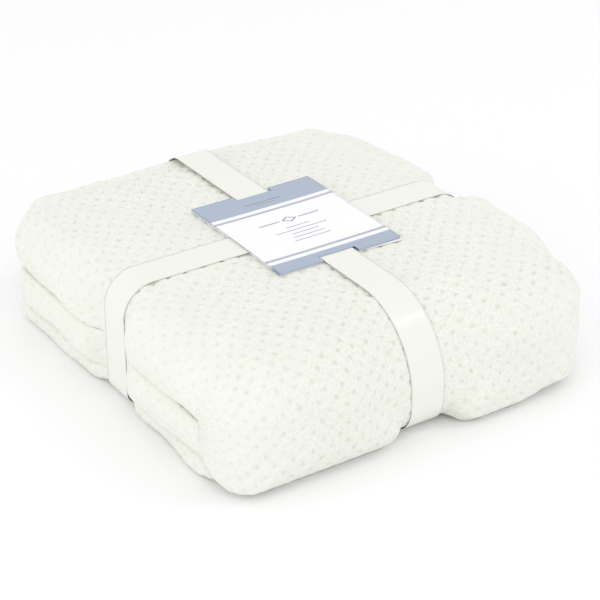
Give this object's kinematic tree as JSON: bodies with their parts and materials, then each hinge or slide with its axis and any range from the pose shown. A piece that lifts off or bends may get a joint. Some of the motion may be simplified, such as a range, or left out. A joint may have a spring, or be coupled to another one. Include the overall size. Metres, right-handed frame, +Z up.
{
  "type": "folded throw blanket",
  "caption": "Plush throw blanket folded into a rounded stack, tied crosswise with satin ribbons under a printed card sleeve.",
  "frame": {"origin": "centre of the footprint, on the surface that the blanket rests on", "axes": "+Z up; X along the smooth front fold; +Y from the front fold to the open back"},
  "size_m": [0.45, 0.49, 0.1353],
  "materials": {
    "plush_cloth": "matte",
    "hem_cloth": "matte",
    "sewing_thread": "satin",
    "satin_ribbon": "satin",
    "clear_adhesive": "gloss",
    "printed_card": "satin",
    "plain_card": "matte",
    "card_glue": "satin",
    "woven_label": "satin"
  },
  "bodies": {
    "blanket": {"top_bundle": "plush_cloth", "front_fold": "plush_cloth", "middle_bundle": "plush_cloth", "bottom_bundle": "plush_cloth", "side_hem": "hem_cloth", "end_hem": "hem_cloth", "side_hem_thread": "sewing_thread", "end_hem_thread": "sewing_thread"},
    "lengthwise_ribbon": {"lengthwise_ribbon": "satin_ribbon", "lengthwise_seal": "clear_adhesive"},
    "crosswise_ribbon": {"crosswise_ribbon": "satin_ribbon", "crosswise_seal": "clear_adhesive"},
    "card": {"card_front": "printed_card", "card_back": "plain_card", "card_glue": "card_glue"},
    "care_label": {"care_label": "woven_label"}
  },
  "joints": [
    {"name": "lengthwise_ribbon_nudge", "type": "slide", "parent": "blanket", "child": "lengthwise_ribbon", "axis": [0, 1, 0], "range_m": [-0.004, 0.004]},
    {"name": "crosswise_ribbon_nudge", "type": "slide", "parent": "blanket", "child": "crosswise_ribbon", "axis": [1, 0, 0], "range_m": [-0.004, 0.004]},
    {"name": "card_slide", "type": "slide", "parent": "crosswise_ribbon", "child": "card", "axis": [0, 1, 0], "range_m": [-0.05, 0.05]},
    {"name": "care_label_flip", "type": "hinge", "parent": "blanket", "child": "care_label", "pos_m": [-0.118, 0.2408, 0.048], "axis": [1, 0, 0], "range_deg": [0, 110]}
  ]
}
